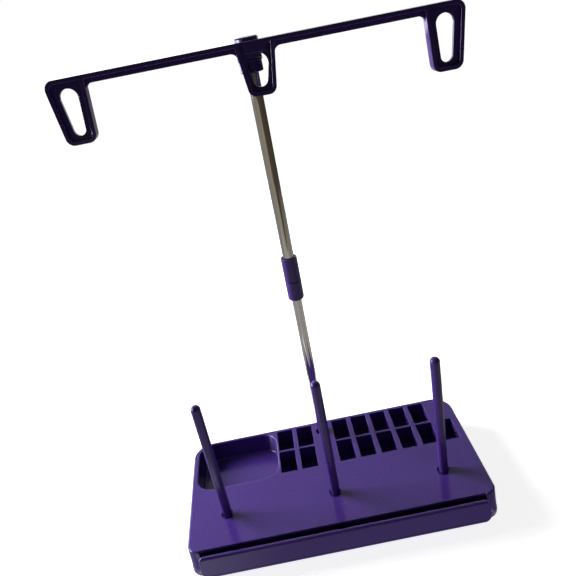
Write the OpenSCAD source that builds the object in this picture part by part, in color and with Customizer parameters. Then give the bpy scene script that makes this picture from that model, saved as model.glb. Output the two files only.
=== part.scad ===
// Thread stand for a serger: a moulded base with a notions tray, bobbin wells, a shallow drawer
// and three spool pins, and a telescoping mast that carries a thread guide arm with three loops.
// Millimetres, +Z up. The origin is on the resting plane, under the middle of the whole stand's box.
// The drawer opens towards -Y.

/* [Base] */
// Width of the base's top face
base_w = 212.6; // [190:0.2:260]
// Depth of the base's top face
base_d = 107.7; // [100:0.1:140]
// Height of the top cover, from the parting line to the top face
cover_h = 18; // [16:0.1:26]
// Height of the base pan under the parting line
pan_h = 5; // [4.6:0.1:8]
// How far the outer walls lean out between the top face and the foot of the pan
wall_lean = 1; // [0.5:0.1:4]
// Plan radius of the two front corners at the top face
front_corner_r = 8; // [4:0.5:11]
// Plan radius of the two back corners at the top face
back_corner_r = 15; // [6:0.5:17]
// Rounding of the top face's edge
edge_r = 1.6; // [0.6:0.1:1.8]
// Thickness of the cover's outer walls
wall_t = 2.2; // [1.6:0.1:2.6]
// Thickness of the cover's top plate
plate_t = 2.4; // [2:0.1:3]
// Thickness of the pan's deck
deck_t = 2; // [1.6:0.1:2.4]
// Thickness of the pan's rim wall
rim_t = 2.4; // [2:0.1:3.2]
// How far the pan's lip stands out past the cover's walls
pan_lip = 0.2; // [0.2:0.1:0.9]
// Rounding of the pan's lower outer edge
toe_r = 1.8; // [0.6:0.1:1.8]

/* [Tray] */
// Margin between the notions tray and the side of the top face
tray_side = 4.5; // [4:0.1:20]
// Margin between the notions tray and the back of the top face
tray_back = 3; // [2.9:0.1:6]
// Depth of the notions tray from front to back at its mouth
tray_d = 49.3; // [36:0.1:50]
// Plan radius of the tray's corners at the floor
tray_corner_r = 11; // [6:0.5:14]
// How far the tray's walls lean in towards the floor
tray_lean = 1.2; // [0.4:0.1:2]
// Rounding between the tray's walls and floor
tray_floor_r = 1.2; // [1:0.1:4]
// Rounding of the tray's mouth
tray_lip_r = 1.1; // [0.4:0.1:1.2]
// Wall of the tray under the top plate
tray_t = 1.8; // [1.4:0.1:2.2]

/* [Bobbin wells] */
// Width of one bobbin well
well_w = 12.3; // [11.8:0.1:12.8]
// Depth of one bobbin well from front to back
well_d = 22.6; // [20:0.1:23.4]
// Distance between neighbouring wells' middles
well_pitch = 16; // [15:0.1:20]
// Wall between the two rows of wells
row_wall = 1.9; // [1.4:0.1:3]
// Outer wall of the wells under the top plate
well_t = 1.75; // [1.4:0.05:2]
// Floor under the tray and the wells
floor_t = 1.6; // [1.2:0.1:2.4]
// Gap between those floors and the pan's deck
floor_gap = 0.9; // [0.4:0.1:3]
// Width of the plain strip between the left and the right wells, where the mast stands
mast_strip = 17.1; // [16.8:0.1:22]
// Margin between the back wells and the top face's back edge
well_back = 3.35; // [3:0.05:6]
// Least margin between the wells and the side of the top face
well_side = 5.3; // [4.5:0.1:12]
// Columns of wells between the tray and the mast
left_columns = 2; // [1:1:3]

/* [Drawer] */
// Width of each front post beside the drawer's opening
post_w = 8.3; // [8:0.1:14]
// How far the top plate's front edge stands back between the posts
mouth_set = 1; // [0.4:0.1:1.4]
// Side clearance of the drawer in its opening
drawer_side_gap = 0.6; // [0.3:0.1:0.8]
// Clearance of the drawer's floor over the pan, and of its stops
drawer_gap = 0.3; // [0.2:0.05:0.4]
// Distance from the front posts to the drawer's panel, as it stands slightly open
panel_standoff = 3; // [2:0.1:6]
// Thickness of the drawer's panel
panel_t = 2.5; // [2.3:0.1:3.4]
// Margin between the panel's end and the side of the base, at the top
panel_side = 7.2; // [5.4:0.1:7.6]
// Angle at which the panel leans out towards its foot
panel_angle = 4.5; // [1:0.5:8]
// Angle at which the panel's ends splay out towards its foot
panel_splay = 2.5; // [0.5:0.5:6]
// Distance from the top face down to the panel's top edge
panel_drop = 1.2; // [0.1:0.1:2]
// Height of the panel's lower edge above the pan's foot
panel_foot = 3.6; // [2:0.1:4.4]
// Rounding of the panel's front edges
panel_edge_r = 1.9; // [0.8:0.1:2]
// Radius of the panel's top corners
panel_top_r = 4.2; // [2.2:0.1:6]
// Radius of the panel's bottom corners
panel_foot_r = 8; // [2.2:0.1:9]
// Wall of the drawer's box
drawer_t = 1.6; // [1.2:0.1:2]
// Room between the drawer's side walls and the top plate
drawer_head = 2.3; // [1:0.1:4]
// Room between the drawer's back wall and the pin bosses that it passes under
boss_room = 0.9; // [0.5:0.1:3]
// How far the stop ears at the drawer's back stand out to each side
ear_w = 1.8; // [1.4:0.1:2.2]
// Length of a stop ear
ear_l = 3; // [2:0.1:5]
// Thickness of the wall behind the drawer
bay_wall_t = 1.8; // [1.4:0.1:2.4]
// Clear strip between that wall and the wells
screw_strip = 9.3; // [8:0.1:14]
// Gap between a stop ear and what runs beside it
ear_gap = 0.4; // [0.3:0.05:0.6]
// Height of the rails beside the drawer
rail_h = 5; // [3:0.1:7]
// Thickness of those rails
rail_t = 1.4; // [1:0.1:2]

/* [Spool pins] */
// Diameter of a spool pin
pin_d = 6.6; // [5.9:0.1:7]
// Height of a spool pin above the top face
pin_h = 96.7; // [60:0.1:120]
// Distance of the outer pins from the sides of the top face
pin_side = 28.05; // [26:0.05:40]
// Distance of the pins from the top face's front edge
pin_in = 28.35; // [16:0.05:32]
// Diameter of a pin's tenon in its socket
tenon_d = 5.6; // [4:0.1:5.8]
// Bevel at the end of the tenon
tenon_bevel = 0.5; // [0.2:0.1:1]
// Diameter of the recess round a pin's foot
pin_recess_d = 9.2; // [7.2:0.1:10]
// Depth of the recess round a pin's foot
pin_recess_l = 2; // [1:0.1:2.4]
// Depth of the tight socket under the recess
pin_socket_l = 6; // [4:0.1:6]
// Wall of a pin's boss
pin_boss_t = 3; // [2:0.1:4]
// Floor of a pin's boss
pin_boss_floor = 1; // [0.8:0.1:1.1]
// Radial gap of a pushed-in fit
push_fit = 0.02; // [0.01:0.005:0.04]

/* [Mast] */
// Distance of the mast from the top face's back edge
mast_in = 11.95; // [10.8:0.05:16]
// Outer diameter of the lower tube
lower_tube_d = 6.9; // [6:0.1:7.2]
// Length of the lower tube
lower_tube_l = 174; // [150:0.5:200]
// Length of the upper tube
upper_tube_l = 144.2; // [120:0.1:180]
// Length of the lower tube inside the upper one, as the mast stands
tube_insert = 17.8; // [12:0.1:100]
// Wall of both tubes
tube_t = 0.4; // [0.3:0.05:0.5]
// Radial gap between the sliding tubes
slide_fit = 0.05; // [0.03:0.01:0.08]
// Diameter of the hole round the mast's foot
mast_hole_d = 10; // [9:0.1:11]
// Depth of the wide part of that hole
mast_hole_l = 4; // [2:0.1:6]
// Radius of the boss that holds the mast's foot
mast_boss_r = 8.4; // [7:0.1:9]
// Floor of the mast's boss
mast_boss_floor = 2; // [1.5:0.1:3]
// Length of the plug in the mast's foot
plug_l = 12; // [10:0.5:20]
// Length of the guide bush's stem in the lower tube
bush_stem_l = 8; // [4:0.5:12]
// Length of the guide bush's head over the lower tube
bush_head_l = 3; // [2:0.1:4]
// Bevel on the guide bush's head
bush_bevel = 0.6; // [0.2:0.1:1]

/* [Height lock] */
// Diameter of the lock nut and the collar
lock_d = 11.4; // [11:0.1:13]
// Length of the lock nut
nut_l = 14.6; // [13:0.1:18]
// Length of the collar above the nut
collar_l = 17.9; // [12:0.1:24]
// Gap between the nut and the collar
lock_gap = 0.3; // [0.2:0.05:0.4]
// Wall of the lock nut round the collar's neck
nut_t = 0.7; // [0.6:0.05:0.8]
// Thickness of the nut's lower lip
nut_lip = 1.5; // [1:0.1:2]
// Length of the collar's neck in the nut
neck_l = 7; // [5:0.1:8]
// Radial gap between the nut and what turns in it
turn_fit = 0.1; // [0.05:0.01:0.1]
// Radial gap between the grip ring and the lower tube
grip_fit = 0.03; // [0.02:0.01:0.06]
// Depth of the shoulder that the upper tube stands on, above the collar's lower end
shoulder_l = 3; // [2:0.1:5]
// Depth of the dished top of the collar
dish = 1; // [0.4:0.1:1.6]
// Rounding of the nut's lower edge
nut_edge_r = 1.6; // [0.6:0.1:1.8]
// Width of the grip ring's slit
slit = 0.8; // [0.5:0.1:1.5]
// Height of the grip ring's bevel
grip_bevel = 2; // [1:0.1:3]

/* [Arm carrier] */
// Outer radius of the socket on the upper tube
socket_r = 7.1; // [6:0.1:7.4]
// Height of the socket up to its flange
socket_h = 6.5; // [6.2:0.1:9]
// Depth of the tube in the socket
socket_l = 5.5; // [4:0.1:5.6]
// Radius of the flange that the arm's hub stands on
flange_r = 7.7; // [7.3:0.1:8.6]
// Thickness of the flange
flange_t = 1.2; // [0.8:0.1:2]
// Radius of the spigot that the arm turns on
spigot_r = 4.5; // [3:0.1:5]
// Height of the spigot above the flange
spigot_h = 8.6; // [6:0.1:9]
// Gap between the flange and the arm's hub
hub_gap = 0.3; // [0.2:0.05:0.4]
// Radial gap between the flange and the arm's middle loop
flange_gap = 0.3; // [0.2:0.05:0.6]

/* [Thread guide arm] */
// Distance from the middle loop to each end loop
loop_pitch = 111.7; // [90:0.1:120]
// How far the middle loop lies beside the mast
arm_offset = 4; // [3:0.1:5]
// Depth of the arm's rim from front to back
rim_depth = 8; // [6:0.1:8.4]
// Thickness of the arm's web
web_t = 3; // [2:0.1:4]
// Width of the raised rim
rim_w = 2.5; // [1.8:0.1:3]
// Height of the bar between the loops
bar_h = 5.4; // [4.6:0.1:5.6]
// Distance from the mast's axis forward to the middle of the arm
arm_forward = 9.6; // [9.3:0.1:10.5]
// Half width of a loop where it leaves the bar's top
loop_top_half = 12.1; // [11:0.1:14]
// Half width of an end loop at its lower end
end_low_half = 8.85; // [8:0.05:10]
// Drop of an end loop under the bar's top
end_drop = 38; // [34:0.1:44]
// Half width of the middle loop at its lower end
mid_low_half = 8; // [7.6:0.1:10]
// Drop of the middle loop under the bar's top
mid_drop = 31; // [29:0.1:36]
// Radius of a loop's lower corners
loop_r = 5; // [4:0.1:6]
// Radius of the arm's outer top corners
arm_end_r = 5.5; // [4:0.1:7]
// Radius of the fillets under the bar
arm_fillet_r = 4.2; // [2:0.1:6]
// Radius of a slot's wide upper end, end loops
end_slot_top_r = 5.3; // [4:0.1:5.6]
// Radius of a slot's narrow lower end, end loops
end_slot_low_r = 3.6; // [2.5:0.1:4.2]
// Radius of the middle slot's wide upper end
mid_slot_top_r = 6.2; // [5:0.1:6.4]
// Radius of the middle slot's narrow lower end
mid_slot_low_r = 4.2; // [3:0.1:4.4]
// Web left above an end slot
end_slot_top = 6; // [5.4:0.1:7]
// Web left above the middle slot
mid_slot_top = 6.9; // [6.4:0.1:8]
// Web left under a slot
slot_foot = 4.8; // [4:0.1:6]
// Half width of the pad in front of the hub
pad_half = 6.3; // [4:0.1:7]
// Radius of the arm's hub
hub_r = 7.3; // [6.6:0.1:7.5]
// Depth of the hub under the bar's top
hub_drop = 10.1; // [9.6:0.1:13]
// Height of the hub above the bar's top
hub_rise = 2; // [1.5:0.1:3]
// Rounding of the hub's top edge
hub_edge_r = 1.4; // [0.6:0.1:1.9]

/* [Feet and screws] */
// How far the rubber feet stand out under the pan
foot_proud = 1; // [0.8:0.1:2]
// Radius of a rubber foot
foot_r = 6; // [4:0.1:7]
// Depth of a foot's seat in the pan
foot_seat = 1.2; // [0.8:0.1:1.4]
// Distance of the feet from the sides of the top face
foot_side = 20.3; // [16:0.1:40]
// Distance of the feet from the front and back of the top face
foot_end = 17.85; // [16:0.05:30]
// Wall round a foot's seat
foot_wall = 2; // [1:0.1:3]
// Radius of a base screw's head
screw_head_r = 2.6; // [2:0.1:2.8]
// Height of a base screw's head
screw_head_h = 1.8; // [1.4:0.1:2]
// Radius of a base screw's shank
screw_r = 1.25; // [1:0.05:1.4]
// Length of a base screw's shank
screw_l = 8; // [6:0.5:10]
// Radius of the bosses that take the base screws
screw_boss_r = 2.8; // [2.6:0.1:3.2]
// Radial clearance of a screw in its hole
screw_fit = 0.05; // [0.02:0.01:0.1]
// Width of the cross in a screw's head
cross_w = 0.8; // [0.5:0.1:1]
// Depth of the cross in a screw's head
cross_h = 0.9; // [0.5:0.1:1.1]
// Distance of the front screws from the top face's front edge
front_screw_in = 7.6; // [6.6:0.1:12]
// Distance of the screws behind the drawer from the sides of the top face
mid_screw_in = 26.3; // [20:0.1:40]
// Distance of the back screw from the side of the top face
back_screw_side = 10.3; // [9.6:0.1:14]
// Distance of the back screw from the back of the top face
back_screw_end = 9.85; // [9.4:0.05:14]
// Radius of the mast screw's shank
mast_screw_r = 1.45; // [1.2:0.05:1.6]
// Length of the mast screw's shank
mast_screw_l = 13; // [11:0.5:15]
// Radius of the washer under the mast screw's head
washer_r = 3.8; // [3.4:0.1:4.4]
// Thickness of that washer
washer_t = 0.5; // [0.4:0.05:0.7]

/* [Hidden] */
$fn = 64;
purple = [0.34, 0.25, 0.53];
chrome = [0.78, 0.78, 0.76];
steel = [0.62, 0.63, 0.65];
nylon = [0.86, 0.85, 0.80];
rubber = [0.10, 0.10, 0.11];
// A cut reaches this far past the face that it opens
past = 1;
// An arc between sloping sides overlaps them by this much, so that it crosses them cleanly
bite = 0.01;

// Heights
pan_z = foot_proud;
part_z = pan_z + pan_h;
top_z = part_z + cover_h;
plate_z = top_z - plate_t;
deck_z = part_z - deck_t;
block_z = part_z + floor_gap;
well_floor_z = block_z + floor_t;
// Lean of the outer walls
lean_angle = atan(wall_lean / (cover_h + pan_h));
cover_lean = snap(cover_h * tan(lean_angle));
pan_lean = snap(pan_h * tan(lean_angle));
// Edges of the top face
side_x = base_w / 2;
back_y = base_d / 2;
front_y = -base_d / 2;

// Wells, counted from the strip where the mast stands; as many columns on the right as the base takes
back_row_y = back_y - well_back - well_d;
front_row_y = back_row_y - row_wall - well_d;
right_columns = floor((side_x - well_side - mast_strip / 2 + well_pitch - well_w) / well_pitch);
wells_left = [for (c = [0:left_columns - 1]) -mast_strip / 2 - well_w - c * well_pitch];
wells_right = [for (c = [0:right_columns - 1]) mast_strip / 2 + c * well_pitch];
wells_front = concat(wells_left, wells_right);
// The back row has one well less, because of the rounded corner
wells_back = concat(wells_left, [for (c = [0:right_columns - 2]) wells_right[c]]);
// The tray fills the width between the side margin and the left wells
tray_right_x = wells_left[left_columns - 1] - well_t;
tray_w = tray_right_x - tray_side + side_x;
tray_depth = top_z - well_floor_z;
tray_x = tray_right_x - tray_w / 2;
tray_y = back_y - tray_back - tray_d / 2;

// Pins
pin_x = [pin_side - side_x, 0, side_x - pin_side];
pin_y = front_y + pin_in;
pin_foot_z = top_z - pin_recess_l - pin_socket_l;
pin_boss_z = pin_foot_z - pin_boss_floor;

// Drawer
mouth_half = side_x - post_w;
panel_half = side_x - panel_side;
panel_y = front_y - panel_standoff;
panel_z = top_z - panel_drop;
panel_h = (panel_z - pan_z - panel_foot) / cos(panel_angle);
drawer_half = mouth_half - drawer_side_gap;
drawer_z = part_z + drawer_gap;
drawer_side_h = plate_z - drawer_head - drawer_z;
drawer_back_h = pin_boss_z - boss_room - drawer_z;
// Front face of the wall behind the drawer
bay_y = front_row_y - well_t - screw_strip - bay_wall_t;
// How far the drawer can still be pushed in
close_travel = panel_standoff - pan_lip - 2 * drawer_gap;
drawer_back_y = bay_y - drawer_gap - close_travel;
ear_x = drawer_half + ear_w;

// Mast, from the foot up
mast_y = back_y - mast_in;
mast_foot_z = block_z + mast_boss_floor;
lower_tube_r = lower_tube_d / 2;
bore_lower_r = lower_tube_r - tube_t;
bore_upper_r = lower_tube_r + slide_fit;
upper_tube_r = bore_upper_r + tube_t;
upper_tube_z = mast_foot_z + lower_tube_l - tube_insert;
collar_z = upper_tube_z - shoulder_l;
neck_z = collar_z - neck_l;
nut_z = collar_z - lock_gap - nut_l;
lock_r = lock_d / 2;
nut_bore_r = lock_r - nut_t;
neck_r = nut_bore_r - turn_fit;
tube_pass_r = lower_tube_r + turn_fit;
carrier_z = upper_tube_z + upper_tube_l - socket_l;
flange_z = carrier_z + socket_h;
hub_z = flange_z + flange_t + hub_gap;
bar_z = hub_z + hub_drop;
arm_y = mast_y - arm_forward;

// Screws into the cover: at the front posts, behind the drawer, in the mast strip and at the back
front_screw_x = ear_x + ear_gap + screw_boss_r;
mid_screw_y = (bay_y + bay_wall_t + front_row_y - well_t) / 2;
screw_places = [
    [-front_screw_x, front_y + front_screw_in],
    [front_screw_x, front_y + front_screw_in],
    [mid_screw_in - side_x, mid_screw_y],
    [side_x - mid_screw_in, mid_screw_y],
    [0, front_row_y + well_d / 2],
    [side_x - back_screw_side, back_y - back_screw_end]
];
screw_hole_l = screw_l - deck_t + floor_gap;

// Front and back of the whole stand, and the shift that puts the origin under the middle of its box
stand_front_y = panel_y - (panel_t - panel_edge_r) * cos(panel_angle)
                - (panel_h - panel_edge_r) * sin(panel_angle) - panel_edge_r;
stand_back_y = back_y + cover_lean + pan_lip + pan_lean;
frame_shift = [-arm_offset, snap(-(stand_front_y + stand_back_y) / 2), 0];

foot_x = side_x - foot_side;
foot_places = [for (x = [-foot_x, foot_x], y = [front_y + foot_end, back_y - foot_end]) [x, y]];

// Unit vector along v
function unit(v) = v / norm(v);

// Length to the nearest thousandth
function snap(v) = round(v * 1000) / 1000;
// Nearest place on a binary grid far finer than any size
function fine(v) = round(v * 1048576) / 1048576;

// For corner i of an outline: its two tangent points, the rounding's middle and its radius
function soft_corner(pts, radii, i) =
    let (
        n = len(pts),
        a = unit(pts[(i + n - 1) % n] - pts[i]),
        b = unit(pts[(i + 1) % n] - pts[i]),
        half = acos(a * b) / 2,
        r = radii[i]
    )
    r > 0 ? [pts[i] + a * r / tan(half), pts[i] + b * r / tan(half), pts[i] + unit(a + b) * r / sin(half), r]
          : [pts[i], pts[i], pts[i], 0];

// Outline with true arcs at the corners that have a radius. These corners turn outwards, and the
// outline is thicker there than the arc's whole circle.
module soft_polygon(pts, radii, over = 0) {
    corners = [for (i = [0:len(pts) - 1]) soft_corner(pts, radii, i)];
    polygon([for (c = corners) each c[3] > 0 ? [c[0], c[1]] : [c[0]]]);
    for (c = corners)
        if (c[3] > 0)
            translate(c[2]) circle(r = c[3] + over);
}

// Section of a wall that leans out towards its foot, from x = 0 to its outer face. Its top edge has a
// quarter round, a lip flares the foot out with another, and a toe rounds the foot instead.
module lean_section(reach, h, lean, edge, lip, toe) {
    foot = reach + lean;
    polygon(concat([[0, 0], [foot - toe, 0]],
                   toe > 0 ? [[foot - bite, toe]] : [],
                   lip > 0 ? [[foot, lip]] : [],
                   edge > 0 ? [[reach, h - edge], [reach - edge, h]] : [[reach, h]],
                   [[0, h]]));
    if (edge > 0)
        translate([reach - edge, h - edge]) circle(r = edge);
    if (toe > 0)
        translate([foot - toe, toe]) circle(r = toe);
    if (lip > 0)
        difference() {
            translate([foot, 0]) square(lip);
            translate([foot + lip, lip]) circle(r = lip);
        }
}

// One straight run of a lean section along Y, with its outer face towards +X
module lean_run(run, reach, h, lean, edge, lip, toe) {
    rotate([90, 0, 0])
        linear_extrude(run, center = true)
            lean_section(reach, h, lean, edge, lip, toe);
}

// Slab with leaning walls, rounded plan corners and a rounded top edge, standing on z = 0.
// Its sizes are those of the top face.
module lean_slab(w, d, h, rf, rb, lean, edge = 0, lip = 0, toe = 0) {
    // Sizes on a binary grid, so that the pieces meet at the very same places at any size
    x = fine(w / 2);
    y = fine(d / 2);
    f = fine(rf);
    b = fine(rb);
    side_run = 2 * y - f - b;
    for (side = [0, 1])
        mirror([side, 0, 0]) {
            translate([x - f, f - y, 0])
                rotate([0, 0, -90])
                    rotate_extrude(angle = 90) lean_section(f, h, lean, edge, lip, toe);
            translate([x - b, y - b, 0])
                rotate_extrude(angle = 90) lean_section(b, h, lean, edge, lip, toe);
            translate([x - b, (f - b) / 2, 0])
                lean_run(side_run, b, h, lean, edge, lip, toe);
        }
    translate([0, f - y, 0])
        rotate([0, 0, -90]) lean_run(2 * (x - f), f, h, lean, edge, lip, toe);
    translate([0, y - b, 0])
        rotate([0, 0, 90]) lean_run(2 * (x - b), b, h, lean, edge, lip, toe);
    translate([b - x, f - y, 0])
        cube([2 * (x - b), side_run, h]);
}

// Box between two corners
module span(low, high) {
    translate(low) cube(high - low);
}

// Cylinder along Z from one height to another
module post(place, r, z0, z1) {
    translate([place[0], place[1], z0]) cylinder(r = r, h = z1 - z0);
}

// Outer shape of the cover
module cover_form() {
    translate([0, 0, part_z])
        lean_slab(base_w, base_d, cover_h, front_corner_r, back_corner_r, cover_lean, edge_r);
}

// Space inside the cover's walls and under its plate
module cover_hollow() {
    translate([0, 0, part_z - past])
        lean_slab(base_w - 2 * wall_t, base_d - 2 * wall_t, cover_h - plate_t + past,
                  front_corner_r - wall_t, back_corner_r - wall_t, cover_lean);
}

// Notions tray's hollow, wider at its mouth, with a rounded floor edge and a rounded lip
module tray_hollow() {
    translate([tray_x, tray_y, top_z])
        mirror([0, 0, 1])
            lean_slab(tray_w - 2 * tray_lean, tray_d - 2 * tray_lean, tray_depth,
                      tray_corner_r, tray_corner_r, tray_lean, tray_floor_r, tray_lip_r);
}

// Rectangle about the origin with round corners
module soft_rectangle(w, d, r) {
    soft_polygon([[-w, -d] / 2, [w, -d] / 2, [w, d] / 2, [-w, d] / 2], [r, r, r, r]);
}

// Walls and floor of the tray under the plate
module tray_block() {
    translate([tray_x, tray_y, block_z])
        linear_extrude(plate_z - block_z)
            soft_rectangle(tray_w + 2 * tray_t, tray_d + 2 * tray_t, tray_corner_r + tray_lean + tray_t);
}

// Walls and floors under the plate for the wells between two columns
module well_block(first, last, y0, y1) {
    span([first - well_t, y0, block_z], [last + well_w + well_t, y1, plate_z]);
}

// Blocks for the wells left of the mast, and for the two rows right of it
module well_blocks() {
    inner_y = back_y - wall_t / 2;
    well_block(wells_left[left_columns - 1], wells_left[0], front_row_y - well_t, inner_y);
    well_block(wells_right[0], wells_right[right_columns - 1], front_row_y - well_t, back_row_y);
    well_block(wells_right[0], wells_right[right_columns - 2], front_row_y - well_t, inner_y);
}

// Hollows of all the wells
module well_hollows() {
    for (x = wells_front)
        span([x, front_row_y, well_floor_z], [x + well_w, front_row_y + well_d, top_z + past]);
    for (x = wells_back)
        span([x, back_row_y, well_floor_z], [x + well_w, back_row_y + well_d, top_z + past]);
}

// Upper shell of the base: tray, wells, pin sockets, mast socket and the drawer's opening
module top_cover() {
    mast = [0, mast_y];
    color(purple)
        difference() {
            union() {
                difference() {
                    cover_form();
                    cover_hollow();
                }
                tray_block();
                well_blocks();
                post(mast, mast_boss_r, block_z, plate_z);
                for (x = pin_x)
                    post([x, pin_y], tenon_d / 2 + pin_boss_t, pin_boss_z, plate_z);
                for (p = screw_places)
                    post(p, screw_boss_r, part_z, plate_z);
                // Wall behind the drawer
                span([wall_t / 2 - side_x, bay_y, part_z], [side_x - wall_t / 2, bay_y + bay_wall_t, plate_z]);
            }
            tray_hollow();
            well_hollows();
            for (x = pin_x) {
                post([x, pin_y], pin_recess_d / 2, top_z - pin_recess_l, top_z + past);
                post([x, pin_y], tenon_d / 2 + push_fit, pin_foot_z, top_z);
            }
            post(mast, mast_hole_d / 2, top_z - mast_hole_l, top_z + past);
            post(mast, lower_tube_r + push_fit, mast_foot_z, top_z);
            post(mast, mast_screw_r + screw_fit, block_z - past, mast_foot_z + past);
            for (p = screw_places)
                post(p, screw_r + screw_fit, part_z - past, part_z + screw_hole_l);
            // Drawer's opening between the front posts
            span([-mouth_half, front_y - wall_lean - past, part_z - past],
                 [mouth_half, front_y + wall_t + past, plate_z]);
            span([-mouth_half, front_y - wall_lean - past, part_z - past],
                 [mouth_half, front_y + mouth_set, top_z + past]);
        }
}

// Lower pan: a deck with a rim, seats for the feet and rails beside the drawer
module base_pan() {
    grow = 2 * (cover_lean + pan_lip);
    corner_grow = cover_lean + pan_lip;
    rail_x = ear_x + ear_gap + rail_t / 2;
    rail_y = front_y + front_screw_in + screw_boss_r + 2 * drawer_gap;
    color(purple)
        difference() {
            union() {
                difference() {
                    translate([0, 0, pan_z])
                        lean_slab(base_w + grow, base_d + grow, pan_h, front_corner_r + corner_grow,
                                  back_corner_r + corner_grow, pan_lean, 2 * pan_lip, 0, toe_r);
                    translate([0, 0, pan_z - past])
                        lean_slab(base_w + grow - 2 * rim_t, base_d + grow - 2 * rim_t, pan_h - deck_t + past,
                                  front_corner_r + corner_grow - rim_t, back_corner_r + corner_grow - rim_t,
                                  pan_lean);
                }
                for (p = foot_places)
                    post(p, foot_r + foot_wall, pan_z, deck_z + deck_t / 2);
                for (side = [-1, 1])
                    translate([side * rail_x, 0, 0])
                        span([-rail_t / 2, rail_y, deck_z + deck_t / 2],
                             [rail_t / 2, bay_y - drawer_gap, part_z + rail_h]);
            }
            for (p = foot_places)
                post(p, foot_r + push_fit, pan_z - past, pan_z + foot_seat);
            for (p = screw_places)
                post(p, screw_r + 2 * screw_fit, deck_z - past, part_z + past);
            post([0, mast_y], mast_screw_r + 2 * screw_fit, deck_z - past, part_z + past);
            // Room beside the rim for the heads of the front screws
            for (i = [0, 1])
                post(screw_places[i], screw_head_r + 4 * screw_fit, pan_z - past, deck_z);
        }
}

// Rubber feet, glued in their seats
module rubber_feet() {
    foot_h = foot_proud + foot_seat;
    color(rubber)
        for (p = foot_places)
            translate([p[0], p[1], 0])
                rotate_extrude()
                    soft_polygon([[0, 0], [foot_r, 0], [foot_r, foot_h], [0, foot_h]],
                                 [0, foot_proud / 2, 0, 0]);
}

// Pan-head screw standing on its head, with the shank from z = 0 up and a cross in the head
module pan_screw(head_r, head_h, r, l) {
    difference() {
        rotate_extrude()
            soft_polygon([[0, -head_h], [head_r, -head_h], [head_r, 0], [r, 0], [r, l - r], [0, l]],
                         [0, head_h / 2, 0, 0, 0, 0]);
        for (turn = [0, 90])
            rotate([0, 0, turn])
                span([-head_r * 0.6, -cross_w / 2, -head_h - past],
                     [head_r * 0.6, cross_w / 2, cross_h - head_h]);
    }
}

// Screws that hold the pan to the cover
module base_screws() {
    color(steel)
        for (p = screw_places)
            translate([p[0], p[1], deck_z]) pan_screw(screw_head_r, screw_head_h, screw_r, screw_l);
}

// Drawer's panel, with its back top edge on the origin, before it is sloped
module panel_form() {
    low_half = panel_half + panel_h * tan(panel_splay);
    intersection() {
        rotate([90, 0, 0])
            linear_extrude(panel_t)
                soft_polygon([[-low_half, -panel_h], [low_half, -panel_h], [panel_half, 0], [-panel_half, 0]],
                             [panel_foot_r, panel_foot_r, panel_top_r, panel_top_r], bite);
        // Rounds the top and bottom front edges
        rotate([90, 0, 90])
            linear_extrude(2 * low_half + 2, center = true)
                soft_polygon([[-panel_t, -panel_h], [0, -panel_h], [0, 0], [-panel_t, 0]],
                             [panel_edge_r, 0, 0, panel_edge_r]);
        // Rounds the front edges of both ends along their slope
        for_both_ends(panel_splay)
            linear_extrude(4 * panel_h, center = true)
                soft_polygon([[-2 * panel_half, -panel_t], [panel_half, -panel_t],
                              [panel_half, 0], [-2 * panel_half, 0]],
                             [0, panel_edge_r, 0, 0]);
    }
}

// Meets a child, leaning out at the +X end, with its own mirror image
module for_both_ends(angle) {
    pivot = panel_half;
    intersection() {
        translate([pivot, 0, 0]) rotate([0, -angle, 0]) translate([-pivot, 0, 0]) children();
        mirror([1, 0, 0]) translate([pivot, 0, 0]) rotate([0, -angle, 0]) translate([-pivot, 0, 0]) children();
    }
}

// Side wall of the drawer, high at the front and low at the back
module drawer_side() {
    back_y = drawer_back_y;
    front = panel_y + panel_slope(drawer_z + drawer_side_h) - panel_t / 2;
    foot = panel_y + panel_slope(drawer_z) - panel_t / 2;
    fall_y = (front_y + back_y) / 2;
    rotate([90, 0, 90])
        linear_extrude(drawer_t)
            polygon([[foot, drawer_z], [back_y, drawer_z], [back_y, drawer_z + drawer_back_h],
                     [fall_y, drawer_z + drawer_side_h], [front, drawer_z + drawer_side_h]]);
}

// How far the sloped panel has moved towards the front at a height
function panel_slope(z) = -(panel_z - z) * tan(panel_angle);

// Drawer: one moulding with its panel, low box and stop ears
module drawer() {
    floor_front = panel_y + panel_slope(drawer_z) - panel_t / 2;
    color(purple) {
        translate([0, panel_y, panel_z]) rotate([-panel_angle, 0, 0]) panel_form();
        span([-drawer_half, floor_front, drawer_z], [drawer_half, drawer_back_y, drawer_z + drawer_t]);
        for (x = [-drawer_half, drawer_half - drawer_t])
            translate([x, 0, 0]) drawer_side();
        span([-drawer_half, drawer_back_y - drawer_t, drawer_z],
             [drawer_half, drawer_back_y, drawer_z + drawer_back_h]);
        for (side = [0, 1])
            mirror([side, 0, 0])
                span([drawer_half - drawer_t, drawer_back_y - ear_l, drawer_z],
                     [ear_x, drawer_back_y, drawer_z + drawer_back_h]);
    }
}

// Spool pin with a domed tip and a thinner tenon in its socket
module spool_pin(x) {
    r = pin_d / 2;
    tenon_r = tenon_d / 2;
    tip_z = top_z + pin_h;
    color(purple)
        translate([x, pin_y, 0])
            rotate_extrude() {
                polygon([[0, pin_foot_z], [tenon_r - tenon_bevel, pin_foot_z],
                         [tenon_r, pin_foot_z + tenon_bevel], [tenon_r, top_z],
                         [r, top_z], [r, tip_z - r], [0, tip_z - r]]);
                intersection() {
                    translate([0, tip_z - r]) circle(r = r);
                    translate([0, tip_z - r]) square(r);
                }
            }
}

module spool_pin_left() { spool_pin(pin_x[0]); }
module spool_pin_middle() { spool_pin(pin_x[1]); }
module spool_pin_right() { spool_pin(pin_x[2]); }

// Places its children on the mast's axis
module on_mast() {
    translate([0, mast_y, 0]) children();
}

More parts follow.
